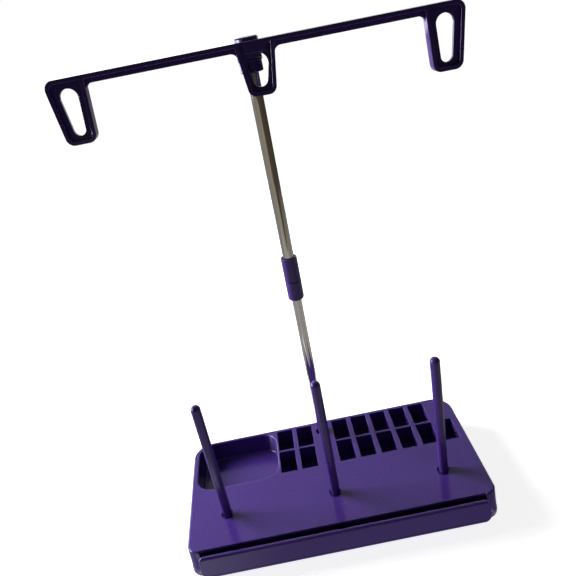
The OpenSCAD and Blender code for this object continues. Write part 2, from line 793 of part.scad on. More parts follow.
// Round tube between two heights
module tube(r_out, r_in, z0, z1) {
    rotate_extrude()
        translate([r_in, z0]) square([r_out - r_in, z1 - z0]);
}

// Fixed tube of the mast
module lower_tube() {
    color(chrome) on_mast() tube(lower_tube_r, bore_lower_r, mast_foot_z, mast_foot_z + lower_tube_l);
}

// Plug in the foot of the lower tube, which the mast screw bites into
module foot_plug() {
    color(nylon) on_mast()
        tube(bore_lower_r - push_fit, mast_screw_r + screw_fit, mast_foot_z, mast_foot_z + plug_l);
}

// Screw that holds the mast from under the pan
module mast_screw() {
    head_h = 1.4 * mast_screw_r;
    color(steel) on_mast()
        translate([0, 0, deck_z - washer_t]) pan_screw(2 * mast_screw_r, head_h, mast_screw_r, mast_screw_l);
}

// Washer under the mast screw's head
module mast_washer() {
    color(steel) on_mast() tube(washer_r, mast_screw_r + 2 * screw_fit, deck_z - washer_t, deck_z);
}

// Bush on top of the lower tube, which guides it in the upper tube
module guide_bush() {
    z = mast_foot_z + lower_tube_l;
    stem_r = bore_lower_r - push_fit;
    color(nylon) on_mast()
        rotate_extrude()
            polygon([[0, z - bush_stem_l], [stem_r, z - bush_stem_l], [stem_r, z],
                     [lower_tube_r, z], [lower_tube_r, z + bush_head_l - bush_bevel],
                     [lower_tube_r - bush_bevel, z + bush_head_l], [0, z + bush_head_l]]);
}

// Sliding tube of the mast
module upper_tube() {
    color(chrome) on_mast() tube(upper_tube_r, bore_upper_r, upper_tube_z, upper_tube_z + upper_tube_l);
}

// Collar on the foot of the upper tube, with a neck that the lock nut screws onto
module lock_collar() {
    seat_r = upper_tube_r + push_fit;
    top = collar_z + collar_l;
    color(purple) on_mast()
        rotate_extrude()
            soft_polygon([[tube_pass_r, neck_z], [neck_r, neck_z], [neck_r, collar_z], [lock_r, collar_z],
                          [lock_r, top], [lock_r - dish / 2, top], [seat_r, top - dish],
                          [seat_r, upper_tube_z], [tube_pass_r, upper_tube_z]],
                         [0, 0, 0, 0.4, 0.3, 0, 0, 0, 0]);
}

// Split ring that the lock nut squeezes onto the lower tube
module grip_ring() {
    z0 = nut_z + nut_lip + lock_gap;
    color(nylon) on_mast()
        difference() {
            rotate_extrude()
                polygon([[lower_tube_r + grip_fit, z0], [neck_r - grip_bevel / 3, z0],
                         [neck_r, z0 + grip_bevel], [neck_r, neck_z], [lower_tube_r + grip_fit, neck_z]]);
            span([0, -slit / 2, z0 - past], [lock_r, slit / 2, neck_z + past]);
        }
}

// Lock nut, turned to free or hold the height of the mast
module lock_nut() {
    mast = [0, mast_y];
    top = nut_z + nut_l;
    color(purple)
        difference() {
            on_mast()
                rotate_extrude()
                    soft_polygon([[0, nut_z], [lock_r, nut_z], [lock_r, top], [0, top]],
                                 [0, nut_edge_r, nut_t / 2, 0]);
            post(mast, nut_bore_r, nut_z + nut_lip, top + past);
            post(mast, tube_pass_r, nut_z - past, top);
        }
}

// Socket on the upper tube with the flange and spigot that carry the arm
module arm_carrier() {
    seat_r = upper_tube_r + push_fit;
    spigot_z = flange_z + flange_t;
    color(purple) on_mast()
        rotate_extrude()
            soft_polygon([[seat_r, carrier_z], [socket_r, carrier_z],
                          [socket_r, flange_z], [flange_r, flange_z],
                          [flange_r, spigot_z], [spigot_r, spigot_z], [spigot_r, spigot_z + spigot_h],
                          [0, spigot_z + spigot_h], [0, carrier_z + socket_l], [seat_r, carrier_z + socket_l]],
                         [0, 0.6, 0, 0.3, 0.3, 0, 0.5, 0, 0, 0]);
}

// Half width of a tapered loop at a drop under the bar's top
function loop_half(low_half, drop, at) = loop_top_half + (low_half - loop_top_half) * at / drop;

// Lean of a loop's sides
function loop_angle(low_half, drop) = atan((loop_top_half - low_half) / drop);

// Tapered plate of a loop, hanging from z = 0, drawn in x and z. An inset shrinks it all round.
module loop_plate(low_half, drop, left_r, right_r, inset) {
    side = inset / cos(loop_angle(low_half, drop));
    top = loop_half(low_half, drop, inset) - side;
    low = loop_half(low_half, drop, drop - inset) - side;
    soft_polygon([[-top, -inset], [top, -inset], [low, inset - drop], [-low, inset - drop]],
                 [max(left_r - inset, 0), max(right_r - inset, 0), loop_r - inset, loop_r - inset], bite);
}

// Slot between a wide upper circle and a narrow lower one
module loop_slot(top, foot, top_r, low_r) {
    high = -top - top_r;
    low = -foot + low_r;
    lean = asin((top_r - low_r) / (high - low));
    side = [cos(lean), -sin(lean)];
    flip = [-side[0], side[1]];
    top_in = top_r - bite;
    low_in = low_r - bite;
    translate([0, high]) circle(r = top_r);
    translate([0, low]) circle(r = low_r);
    polygon([[0, high] + top_in * flip, [0, high] + top_in * side,
             [0, low] + low_in * side, [0, low] + low_in * flip]);
}

// Fillet between the bar's underside and a loop's right side, with its root inside both
module loop_fillet(low_half, drop) {
    r = arm_fillet_r;
    root = rim_w / 2;
    lean = loop_angle(low_half, drop);
    out = [cos(lean), -sin(lean)];
    mid_z = -bar_h - r;
    mid = [loop_top_half + (r + sin(lean) * mid_z) / cos(lean), mid_z];
    difference() {
        polygon([[loop_half(low_half, drop, bar_h) - root, root - bar_h], [mid[0], root - bar_h],
                 mid, mid - (r + root) * out]);
        translate(mid) circle(r = r + bite);
    }
}

// The three loops: place along the arm, lower half width, drop, left and right top radius, slot sizes
loops = [
    [-loop_pitch, end_low_half, end_drop, arm_end_r, 0, end_slot_top, end_slot_top_r, end_slot_low_r],
    [0, mid_low_half, mid_drop, 0, 0, mid_slot_top, mid_slot_top_r, mid_slot_low_r],
    [loop_pitch, end_low_half, end_drop, 0, arm_end_r, end_slot_top, end_slot_top_r, end_slot_low_r]
];

// Web of the arm: bar, loops and fillets, without the slots
module arm_web() {
    difference() {
        union() {
            translate([-loop_pitch, -bar_h]) square([2 * loop_pitch, bar_h]);
            for (l = loops)
                translate([l[0], 0]) loop_plate(l[1], l[2], l[3], l[4], 0);
            translate([-loop_pitch, 0]) loop_fillet(end_low_half, end_drop);
            translate([loop_pitch, 0]) mirror([1, 0]) loop_fillet(end_low_half, end_drop);
            for (side = [0, 1])
                mirror([side, 0]) loop_fillet(mid_low_half, mid_drop);
        }
        for (l = loops)
            translate([l[0], 0]) loop_slot(l[5], l[2] - slot_foot, l[6], l[7]);
    }
}

// Raised rim of the arm: along the bar's top and round each loop
module arm_rim() {
    translate([-loop_pitch, -rim_w]) square([2 * loop_pitch, rim_w]);
    for (l = loops)
        translate([l[0], 0])
            difference() {
                loop_plate(l[1], l[2], l[3], l[4], 0);
                loop_plate(l[1], l[2], l[3], l[4], rim_w);
            }
}

// Draws a flat outline of the arm at its place, with its middle plane on the arm's own
module arm_layer(thick) {
    translate([arm_offset, arm_y, bar_z])
        rotate([90, 0, 0])
            linear_extrude(thick, center = true) children();
}

// Bar and loops of the arm, cleared round the carrier behind the middle loop
module arm_blade() {
    difference() {
        union() {
            arm_layer(rim_depth) arm_rim();
            arm_layer(web_t) arm_web();
        }
        post([0, mast_y], flange_r + flange_gap, carrier_z - flange_gap, hub_z);
    }
}

// Hub that turns on the carrier's spigot, with the bridge to the arm's web
module arm_hub() {
    hub_top = bar_z + hub_rise;
    difference() {
        span([-hub_r, arm_y, hub_z], [hub_r, mast_y, bar_z]);
        // Keeps the middle slot open through the web
        arm_layer(web_t) loop_slot(mid_slot_top, mid_drop - slot_foot, mid_slot_top_r, mid_slot_low_r);
    }
    on_mast()
        rotate_extrude()
            soft_polygon([[0, hub_z], [hub_r, hub_z], [hub_r, hub_top], [0, hub_top]], [0, 0, hub_edge_r, 0]);
}

// Thread guide arm: an I-section bar with three loops and the hub that turns on the carrier
module thread_arm() {
    color(purple)
        difference() {
            union() {
                arm_blade();
                arm_hub();
                // Pad that thickens the web in front of the hub
                translate([arm_offset, 0, 0])
                    span([-pad_half, arm_y - rim_depth / 2, bar_z - mid_slot_top], [pad_half, arm_y, bar_z]);
            }
            on_mast()
                translate([0, 0, hub_z - past])
                    cylinder(r = spigot_r + slide_fit, h = spigot_h + past + hub_gap);
        }
}

// Moves its children from the base's own middle to the model's origin
module in_frame() {
    translate(frame_shift) children();
}

in_frame() top_cover();
in_frame() base_pan();
in_frame() rubber_feet();
in_frame() base_screws();
in_frame() drawer();
in_frame() spool_pin_left();
in_frame() spool_pin_middle();
in_frame() spool_pin_right();
in_frame() lower_tube();
in_frame() foot_plug();
in_frame() mast_screw();
in_frame() mast_washer();
in_frame() guide_bush();
in_frame() upper_tube();
in_frame() lock_collar();
in_frame() grip_ring();
in_frame() lock_nut();
in_frame() arm_carrier();
in_frame() thread_arm();
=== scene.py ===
"""Looks of the serger thread stand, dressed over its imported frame.

Lengths are in metres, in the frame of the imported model: +Z is up and the drawer opens towards -Y.
Angles are in degrees and colours are linear.
"""

import logging
import math
from dataclasses import dataclass
from enum import Enum

import bmesh
import bpy
from mathutils import Matrix, Vector


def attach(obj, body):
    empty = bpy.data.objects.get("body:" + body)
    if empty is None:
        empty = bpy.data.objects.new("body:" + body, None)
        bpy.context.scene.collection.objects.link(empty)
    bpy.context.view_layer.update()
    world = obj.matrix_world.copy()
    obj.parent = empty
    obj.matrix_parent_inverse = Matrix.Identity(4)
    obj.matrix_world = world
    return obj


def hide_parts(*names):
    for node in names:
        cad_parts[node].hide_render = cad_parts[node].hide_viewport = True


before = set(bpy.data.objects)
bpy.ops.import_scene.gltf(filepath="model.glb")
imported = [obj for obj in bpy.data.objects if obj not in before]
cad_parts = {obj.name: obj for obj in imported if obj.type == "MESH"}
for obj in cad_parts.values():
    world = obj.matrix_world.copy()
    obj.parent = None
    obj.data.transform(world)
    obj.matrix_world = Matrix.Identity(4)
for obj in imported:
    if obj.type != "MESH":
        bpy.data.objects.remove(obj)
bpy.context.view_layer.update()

LOG = logging.getLogger("thread_stand")
MM = 0.001
# The base's own middle, seen from the frame's origin
MIDDLE = (-4.0 * MM, 2.791 * MM)
# The mast's axis, seen from the base's own middle
MAST_AXIS = (0.0, 41.9 * MM)
# Radius of the two seats that hold the upper tube
TUBE_SEAT_R = 3.92 * MM
# Attribute of a piece's faces: 1 on a rounding, 0 elsewhere
WORN = "worn"
# Height of the cards that lie on the floor
CARD_LIFT = 0.0004
WHITE = (1.0, 1.0, 1.0)
BLACK = (0.0, 0.0, 0.0)

Colour = tuple[float, float, float]
Point = tuple[float, float, float]
Pair = tuple[float, float]
Quad = tuple[Point, Point, Point, Point]
Tree = bpy.types.NodeTree
Socket = bpy.types.NodeSocket


class Slot(Enum):
    """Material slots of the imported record."""

    PURPLE = "purple_plastic"
    CHROME = "chrome_tube"
    STEEL = "screw_steel"
    NYLON = "nylon"
    RUBBER = "foot_rubber"


class Body(Enum):
    """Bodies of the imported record."""

    BASE = "base"
    DRAWER = "drawer"
    MAST = "mast"
    NUT = "lock_nut"
    ARM = "arm"


class Nodes:
    """Ways to add a node to a tree, used by the effects, the finishes and the studio."""

    # Places of the sockets on a mix node, which has some for each kind of value
    SHARE = 0
    NUMBERS = (2, 3)
    COLOURS = (6, 7)
    MIXED_NUMBER = 0
    MIXED_COLOUR = 2

    @staticmethod
    def feed(tree: Tree, value: object, socket: Socket) -> None:
        """Gives an input its value.

        Args:
            tree: The tree that holds the input.
            value: A socket to link, a colour or a number.
            socket: The input.
        """
        if isinstance(value, Socket):
            tree.links.new(value, socket)
        else:
            socket.default_value = (*value, 1.0) if isinstance(value, tuple) else value

    @classmethod
    def math(cls, tree: Tree, kind: str, a: object, b: object) -> Socket:
        """Adds a math node.

        Args:
            tree: The tree that takes it.
            kind: The operation.
            a: First operand, a socket or a number.
            b: Second operand, a socket or a number.

        Returns:
            The result's socket.
        """
        made = tree.nodes.new("ShaderNodeMath")
        made.operation = kind
        for place, value in enumerate((a, b)):
            cls.feed(tree, value, made.inputs[place])
        return made.outputs[0]

    @classmethod
    def mix(cls, tree: Tree, share: Socket, a: object, b: object) -> Socket:
        """Mixes two colours by a mask.

        Args:
            tree: The tree that takes the node.
            share: Socket with the mask.
            a: Colour at 0, a socket or a value.
            b: Colour at 1, a socket or a value.

        Returns:
            The mixed colour's socket.
        """
        mix = tree.nodes.new("ShaderNodeMix")
        mix.data_type = "RGBA"
        tree.links.new(share, mix.inputs[cls.SHARE])
        for place, value in zip(cls.COLOURS, (a, b)):
            cls.feed(tree, value, mix.inputs[place])
        return mix.outputs[cls.MIXED_COLOUR]

    @classmethod
    def noise(cls, tree: Tree, vector: Socket, scale: object, detail: float) -> Socket:
        """Adds a noise texture on given coordinates.

        Args:
            tree: The tree that takes it.
            vector: Socket with the coordinates.
            scale: Scale of the noise, a socket or a number.
            detail: Octaves of the noise.

        Returns:
            The noise's socket.
        """
        noise = tree.nodes.new("ShaderNodeTexNoise")
        noise.inputs["Detail"].default_value = detail
        tree.links.new(vector, noise.inputs["Vector"])
        cls.feed(tree, scale, noise.inputs["Scale"])
        return noise.outputs["Fac"]

    @staticmethod
    def spread(tree: Tree, value: Socket, source: Pair, target: Pair, kind: str = "LINEAR") -> Socket:
        """Maps one range of a value to another.

        Args:
            tree: The tree that takes the node.
            value: Socket with the value.
            source: The range that is mapped.
            target: The range that it becomes.
            kind: How it runs between the two ends.

        Returns:
            The mapped value's socket.
        """
        drift = tree.nodes.new("ShaderNodeMapRange")
        drift.interpolation_type = kind
        for label, level in zip(("From Min", "From Max", "To Min", "To Max"), (*source, *target)):
            drift.inputs[label].default_value = level
        tree.links.new(value, drift.inputs["Value"])
        return drift.outputs[0]

    @staticmethod
    def place(tree: Tree) -> Socket:
        """Gives the place on the painted object.

        Args:
            tree: The tree that takes the node.

        Returns:
            The place's socket.
        """
        return tree.nodes.new("ShaderNodeTexCoord").outputs["Object"]

    @staticmethod
    def marked(tree: Tree, name: str) -> Socket:
        """Gives an attribute of the painted mesh.

        Args:
            tree: The tree that takes the node.
            name: The attribute's name.

        Returns:
            The attribute's socket.
        """
        mark = tree.nodes.new("ShaderNodeAttribute")
        mark.attribute_name = name
        return mark.outputs["Fac"]


class Effects:
    """Shader node groups for the effects that several finishes share."""

    # How much finer the gloss drifts than the tone
    GLOSS_FINER = 2.7
    # Higher powers leave fewer specks, and keep them to more level faces
    SPECK_POWER = 6.0
    LEVEL_POWER = 3.0
    # Scale of the clouds on drawn metal
    CLOUD_SCALE = 60.0

    def __init__(self) -> None:
        """Builds each group once."""
        self.grain = self._grain()
        self.wear = self._wear()
        self.dust = self._dust()
        self.drawn = self._drawn()

    @staticmethod
    def _group(name: str, inputs: dict[str, float],
               outputs: tuple[str, ...]) -> tuple[Tree, bpy.types.Node, bpy.types.Node]:
        """Makes an empty group with float sockets.

        Args:
            name: The group's name.
            inputs: Names and defaults of the inputs.
            outputs: Names of the outputs.

        Returns:
            The group's tree, its input node and its output node.
        """
        tree = bpy.data.node_groups.new(name, "ShaderNodeTree")
        for label, value in inputs.items():
            socket = tree.interface.new_socket(name=label, in_out="INPUT", socket_type="NodeSocketFloat")
            socket.default_value = value
        for label in outputs:
            tree.interface.new_socket(name=label, in_out="OUTPUT", socket_type="NodeSocketFloat")
        return tree, tree.nodes.new("NodeGroupInput"), tree.nodes.new("NodeGroupOutput")

    def _grain(self) -> Tree:
        """Moulded skin: slow tone, slow gloss and a fine uneven surface.

        Returns:
            The group.
        """
        tree, given, made = self._group("moulded_grain", {"Flow Scale": 30.0, "Skin Scale": 900.0},
                                        ("Tone", "Gloss", "Height"))
        place = Nodes.place(tree)
        flow, skin = given.outputs["Flow Scale"], given.outputs["Skin Scale"]
        finer = Nodes.math(tree, "MULTIPLY", flow, self.GLOSS_FINER)
        for label, scale, detail in (("Tone", flow, 3.0), ("Gloss", finer, 4.0), ("Height", skin, 2.0)):
            tree.links.new(Nodes.noise(tree, place, scale, detail), made.inputs[label])
        return tree

    def _wear(self) -> Tree:
        """Rubbed edges: the softened edges of a piece, broken up by noise.

        Returns:
            The group.
        """
        tree, given, made = self._group("edge_wear", {"Amount": 0.5, "Scale": 180.0}, ("Mask",))
        patch = Nodes.noise(tree, Nodes.place(tree), given.outputs["Scale"], detail=5.0)
        rubbed = Nodes.math(tree, "MULTIPLY", Nodes.marked(tree, WORN), patch)
        tree.links.new(Nodes.math(tree, "MULTIPLY", rubbed, given.outputs["Amount"]), made.inputs["Mask"])
        return tree

    def _dust(self) -> Tree:
        """Settled dust: faint specks on the faces that look up.

        Returns:
            The group.
        """
        tree, given, made = self._group("settled_dust", {"Amount": 0.1, "Scale": 420.0}, ("Mask",))
        split = tree.nodes.new("ShaderNodeSeparateXYZ")
        tree.links.new(tree.nodes.new("ShaderNodeNewGeometry").outputs["Normal"], split.inputs[0])
        up = Nodes.math(tree, "MAXIMUM", split.outputs["Z"], 0.0)
        level = Nodes.math(tree, "POWER", up, self.LEVEL_POWER)
        speck = Nodes.noise(tree, Nodes.place(tree), given.outputs["Scale"], detail=6.0)
        sparse = Nodes.math(tree, "POWER", speck, self.SPECK_POWER)
        lying = Nodes.math(tree, "MULTIPLY", level, sparse)
        tree.links.new(Nodes.math(tree, "MULTIPLY", lying, given.outputs["Amount"]), made.inputs["Mask"])
        return tree

    def _drawn(self) -> Tree:
        """Drawn metal: fine lines that run along Z.

        Returns:
            The group.
        """
        tree, given, made = self._group("drawn_lines", {"Scale": 1500.0, "Stretch": 0.01},
                                        ("Tone", "Gloss", "Height"))
        place = Nodes.place(tree)
        factor = tree.nodes.new("ShaderNodeCombineXYZ")
        for label, value in (("X", 1.0), ("Y", 1.0), ("Z", given.outputs["Stretch"])):
            Nodes.feed(tree, value, factor.inputs[label])
        long = tree.nodes.new("ShaderNodeVectorMath")
        long.operation = "MULTIPLY"
        tree.links.new(place, long.inputs[0])
        tree.links.new(factor.outputs[0], long.inputs[1])
        line = Nodes.noise(tree, long.outputs[0], given.outputs["Scale"], detail=3.0)
        cloud = Nodes.noise(tree, place, self.CLOUD_SCALE, detail=3.0)
        gloss = Nodes.math(tree, "MULTIPLY", line, cloud)
        for label, value in (("Tone", cloud), ("Gloss", gloss), ("Height", line)):
            tree.links.new(value, made.inputs[label])
        return tree


@dataclass(frozen=True)
class Finish:
    """One finish: two tones that drift into each other, gloss, skin, worn edges and dust."""

    name: str
    slot: Slot
    tone: Colour
    deep: Colour
    worn: Colour
    gloss: Pair
    ior: float = 1.5
    metallic: float = 0.0
    drawn: bool = False
    flow_scale: float = 30.0
    skin_scale: float = 900.0
    skin_depth: float = 0.02 * MM
    skin_strength: float = 0.1
    noise_span: Pair = (0.3, 0.7)
    wear: float = 0.5
    dust: float = 0.1
    dust_colour: Colour = (0.55, 0.53, 0.52)

    def material(self, effects: Effects) -> bpy.types.Material:
        """Builds the finish as a material.

        Args:
            effects: The shared node groups.

        Returns:
            The material.
        """
        made = bpy.data.materials.new(self.name)
        made.use_nodes = True
        tree = made.node_tree
        scales = {} if self.drawn else {"Flow Scale": self.flow_scale, "Skin Scale": self.skin_scale}
        skin = self.effect(tree, effects.drawn if self.drawn else effects.grain, scales)
        wear = self.effect(tree, effects.wear, {"Amount": self.wear})
        dust = self.effect(tree, effects.dust, {"Amount": self.dust})
        body = Nodes.mix(tree, skin["Tone"], self.deep, self.tone)
        edged = Nodes.mix(tree, wear["Mask"], body, self.worn)
        dusty = Nodes.mix(tree, dust["Mask"], edged, self.dust_colour)
        gloss = Nodes.spread(tree, skin["Gloss"], self.noise_span, self.gloss)
        rough = Nodes.math(tree, "ADD", gloss, dust["Mask"])
        bump = tree.nodes.new("ShaderNodeBump")
        bump.inputs["Strength"].default_value = self.skin_strength
        bump.inputs["Distance"].default_value = self.skin_depth
        tree.links.new(skin["Height"], bump.inputs["Height"])
        shader = tree.nodes["Principled BSDF"]
        for label, value in (("Metallic", self.metallic), ("IOR", self.ior), ("Base Color", dusty),
                             ("Roughness", rough), ("Normal", bump.outputs[0])):
            Nodes.feed(tree, value, shader.inputs[label])
        return made

    @staticmethod
    def effect(tree: Tree, group: Tree, values: dict[str, float]) -> bpy.types.NodeOutputs:
        """Adds a shared effect to a material.

        Args:
            tree: The material's tree.
            group: The effect's group.
            values: Names and values of the inputs that differ from the group's own.

        Returns:
            The effect's outputs.
        """
        node = tree.nodes.new("ShaderNodeGroup")
        node.node_tree = group
        for label, value in values.items():
            node.inputs[label].default_value = value
        return node.outputs


PURPLE = Finish("purple_gloss", Slot.PURPLE, (0.068, 0.030, 0.225), (0.055, 0.023, 0.195), (0.11, 0.07, 0.29),
                (0.07, 0.13), skin_scale=700.0, skin_strength=0.012, wear=0.35, dust=0.12)
CHROME = Finish("tube_chrome", Slot.CHROME, (0.80, 0.78, 0.75), (0.70, 0.68, 0.65), (0.6, 0.58, 0.55),
                (0.05, 0.12), metallic=1.0, drawn=True, skin_strength=0.05, wear=0.2, dust=0.02)
STEEL = Finish("screw_steel", Slot.STEEL, (0.55, 0.55, 0.56), (0.42, 0.42, 0.44), (0.7, 0.7, 0.7),
               (0.25, 0.4), metallic=1.0, skin_scale=1500.0, skin_strength=0.2, wear=0.3, dust=0.05)
NYLON = Finish("bush_nylon", Slot.NYLON, (0.72, 0.70, 0.63), (0.64, 0.62, 0.55), (0.8, 0.78, 0.72),
               (0.4, 0.55), skin_scale=1200.0, skin_strength=0.15, wear=0.2, dust=0.1)
RUBBER = Finish("foot_rubber", Slot.RUBBER, (0.014, 0.014, 0.015), (0.010, 0.010, 0.011), (0.05, 0.05, 0.05),
                (0.6, 0.8), skin_scale=1800.0, skin_strength=0.35, skin_depth=0.06 * MM, wear=0.4, dust=0.3)


class Palette:
    """The materials, each made once from its finish."""

    def __init__(self) -> None:
        """Starts with the shared effects and no material."""
        self.effects = Effects()
        self.made: dict[str, bpy.types.Material] = {}

    def dress(self, piece: bpy.types.Object, finish: Finish) -> None:
        """Gives a piece its finish.

        Args:
            piece: The piece or node.
            finish: Its finish.
        """
        if finish.name not in self.made:
            self.made[finish.name] = finish.material(self.effects)
        piece.data.materials.clear()
        piece.data.materials.append(self.made[finish.name])


class Workshop:
    """Ways to make a mesh, used by all the sub-assemblies."""

    # Edges that turn more than this are rounded, and stay sharp in the shading
    SHARP = 40.0
    # Faces that turn less than this become one
    FLAT = 0.3
    # Corners closer than this become one, in millimetres
    WELD = 0.002
    # Faces across a rounded edge, across a rounded corner of a section, and round an axis
    EDGE_STEPS = 2
    CORNER_STEPS = 5
    AROUND = 96
    # A point of a section that is nearer to the axis than this lies on it
    ON_AXIS = 1e-7

    @classmethod
    def place(cls, name: str, form: bmesh.types.BMesh) -> bpy.types.Object:
        """Puts a form in the scene with evenly shaded faces.

        Args:
            name: The piece's name.
            form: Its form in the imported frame, which is used up.

        Returns:
            The piece.
        """
        mesh = bpy.data.meshes.new(name)
        form.to_mesh(mesh)
        form.free()
        mesh.shade_smooth()
        mesh.set_sharp_from_angle(angle=math.radians(cls.SHARP))
        piece = bpy.data.objects.new(name, mesh)
        bpy.context.scene.collection.objects.link(piece)
        even = piece.modifiers.new("even_shading", "WEIGHTED_NORMAL")
        even.keep_sharp = True
        return piece

    @classmethod
    def softened(cls, node: str, name: str, width: float) -> bpy.types.Object:
        """Makes a piece from a node's form, with its outer edges rounded as a mould leaves them.

        Args:
            node: The node that gives the form.
            name: The piece's name.
            width: How far the rounding reaches from the edge.

        Returns:
            The piece, with its roundings marked as worn.
        """
        form = bmesh.new()
        form.from_mesh(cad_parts[node].data)
        # In millimetres, so that the tolerances of these steps are small beside the edges
        bmesh.ops.scale(form, vec=(1 / MM,) * 3, verts=form.verts)
        bmesh.ops.remove_doubles(form, verts=form.verts, dist=cls.WELD)
        bmesh.ops.dissolve_limit(form, angle_limit=math.radians(cls.FLAT), use_dissolve_boundaries=False,
                                 verts=form.verts[:], edges=form.edges[:], delimit=set())
        form.normal_update()
        edges = [e for e in form.edges if len(e.link_faces) == 2 and e.is_convex
                 and e.calc_face_angle(0.0) > math.radians(cls.SHARP)]
        mark = form.faces.layers.float.new(WORN)
        made = bmesh.ops.bevel(form, geom=edges, offset=width / MM, offset_type="OFFSET",
                               segments=cls.EDGE_STEPS, profile=0.5, affect="EDGES",
                               clamp_overlap=False, loop_slide=True)
        for face in made["faces"]:
            face[mark] = 1.0
        bmesh.ops.scale(form, vec=(MM,) * 3, verts=form.verts)
        form.normal_update()
        return cls.place(name, form)

    @classmethod
    def rounded(cls, corners: list[Point], closed: bool) -> list[Pair]:
        """Rounds the corners of a half section.

        Args:
            corners: Radius, height and rounding of each corner.
            closed: Whether the section closes on itself, as a tube's does.

        Returns:
            Radius and height of each point.
        """
        line: list[Pair] = []
        for i, (r, z, soft) in enumerate(corners):
            here = Vector((r, z))
            ends = not closed and i in (0, len(corners) - 1)
            if soft <= 0 or ends:
                line.append((r, z))
                continue
            before = Vector(corners[i - 1][:2]) - here
            after = Vector(corners[(i + 1) % len(corners)][:2]) - here
            half = before.angle(after) / 2
            reach = soft / math.tan(half)
            start, stop = here + before.normalized() * reach, here + after.normalized() * reach
            halfway = (before.normalized() + after.normalized()).normalized()
            middle = here + halfway * (soft / math.sin(half))
            turn = (start - middle).angle_signed(stop - middle)
            for k in range(cls.CORNER_STEPS + 1):
                arm = (start - middle).copy()
                arm.rotate(Matrix.Rotation(-turn * k / cls.CORNER_STEPS, 2))
                line.append(tuple(middle + arm))
        return line

    @classmethod
    def turned(cls, name: str, axis: Pair, corners: list[Point], closed: bool = False) -> bpy.types.Object:
        """Turns a half section round an upright axis.

        Args:
            name: The piece's name.
            axis: X and Y of the axis, from the base's own middle.
            corners: Radius, height and rounding of each corner of the section.
            closed: Whether the section closes on itself.

        Returns:
            The piece.
        """
        x, y = axis[0] + MIDDLE[0], axis[1] + MIDDLE[1]
        angles = [2 * math.pi * k / cls.AROUND for k in range(cls.AROUND)]
        form = bmesh.new()
        rings: list[list[bmesh.types.BMVert]] = []
        for r, z in cls.rounded(corners, closed):
            if r < cls.ON_AXIS:
                rings.append([form.verts.new((x, y, z))])
            else:
                rings.append([form.verts.new((x + r * math.cos(a), y + r * math.sin(a), z)) for a in angles])
        for low, high in zip(rings, rings[1:] + rings[:1] if closed else rings[1:]):
            for k in range(cls.AROUND):
                n = (k + 1) % cls.AROUND
                loop = [low[k % len(low)], low[n % len(low)], high[n % len(high)], high[k % len(high)]]
                # A ring on the axis has one point, so the same point can come up twice
                used = list(dict.fromkeys(loop))
                if len(used) >= 3:
                    form.faces.new(used)
        bmesh.ops.recalc_face_normals(form, faces=form.faces)
        return cls.place(name, form)


@dataclass
class SubAssembly:
    """Pieces that belong together."""

    palette: Palette

    def settle(self, piece: bpy.types.Object, body: Body, finish: Finish, *nodes: str) -> None:
        """Dresses a new piece, lets it ride on its body and stand for its nodes.

        Args:
            piece: The piece.
            body: The body that it rides on.
            finish: Its finish.
            nodes: The nodes that it stands for.
        """
        self.palette.dress(piece, finish)
        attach(piece, body.value)
        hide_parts(*nodes)
        LOG.info("%s stands for %s", piece.name, ", ".join(nodes))

    def keep(self, node: str, finish: Finish) -> None:
        """Keeps a node's own form and dresses it.

        Args:
            node: The node.
            finish: Its finish.
        """
        self.palette.dress(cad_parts[node], finish)
        LOG.info("%s keeps its form", node)


@dataclass
class Base(SubAssembly):
    """Cover, pan, feet and screws."""

    cover_edge: float = 0.35 * MM
    pan_edge: float = 0.3 * MM
    foot_r: float = 6.0 * MM
    foot_h: float = 2.2 * MM
    foot_edge: float = 0.5 * MM
    foot_rim: float = 3.72 * MM
    rim_edge: float = 0.2 * MM
    foot_dish: float = 0.25 * MM
    foot_x: float = 86.0 * MM
    foot_y: float = 36.0 * MM

    def build(self) -> None:
        """Builds and dresses the pieces of the base."""
        cover = Workshop.softened("top_cover", "cover_shell", self.cover_edge)
        self.settle(cover, Body.BASE, PURPLE, "top_cover")
        pan = Workshop.softened("base_pan", "pan_shell", self.pan_edge)
        self.settle(pan, Body.BASE, PURPLE, "base_pan")
        for place, (x, y) in enumerate([(-1, -1), (1, -1), (-1, 1), (1, 1)], 1):
            foot = Workshop.turned(f"foot_{place}", (x * self.foot_x, y * self.foot_y), self.foot_section())
            self.settle(foot, Body.BASE, RUBBER, "rubber_feet")
        self.keep("base_screws", STEEL)

    def foot_section(self) -> list[Point]:
        """Gives the half section of a foot, with a shallow dish under it.

        Returns:
            The section's corners.
        """
        return [(0.0, self.foot_dish, 0.0), (self.foot_rim - 2 * self.foot_dish, self.foot_dish, self.rim_edge),
                (self.foot_rim, 0.0, self.rim_edge), (self.foot_r, 0.0, self.foot_edge),
                (self.foot_r, self.foot_h, 0.0), (0.0, self.foot_h, 0.0)]


@dataclass
class Drawer(SubAssembly):
    """Shallow drawer with its sloped panel and two stop ears at the back."""

    edge: float = 0.3 * MM
    ear_x: float = 97.0 * MM
    ear_y: float = -12.16 * MM
    ear_near: float = 0.4 * MM
    ear_room: float = 0.06 * MM

    def build(self) -> None:
        """Builds and dresses the drawer."""
        box = Workshop.softened("drawer", "drawer_moulding", self.edge)
        self.ease(box.data)
        self.settle(box, Body.DRAWER, PURPLE, "drawer")

    def ease(self, mesh: bpy.types.Mesh) -> None:
        """Sets the fronts of the ears back a hair, so that they stay clear at the drawer's limit.

        Args:
            mesh: The drawer's mesh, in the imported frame.
        """
        for corner in mesh.vertices:
            on_ear = abs(corner.co.x - MIDDLE[0]) > self.ear_x
            if on_ear and abs(corner.co.y - self.ear_y) < self.ear_near:
                corner.co.y += self.ear_room


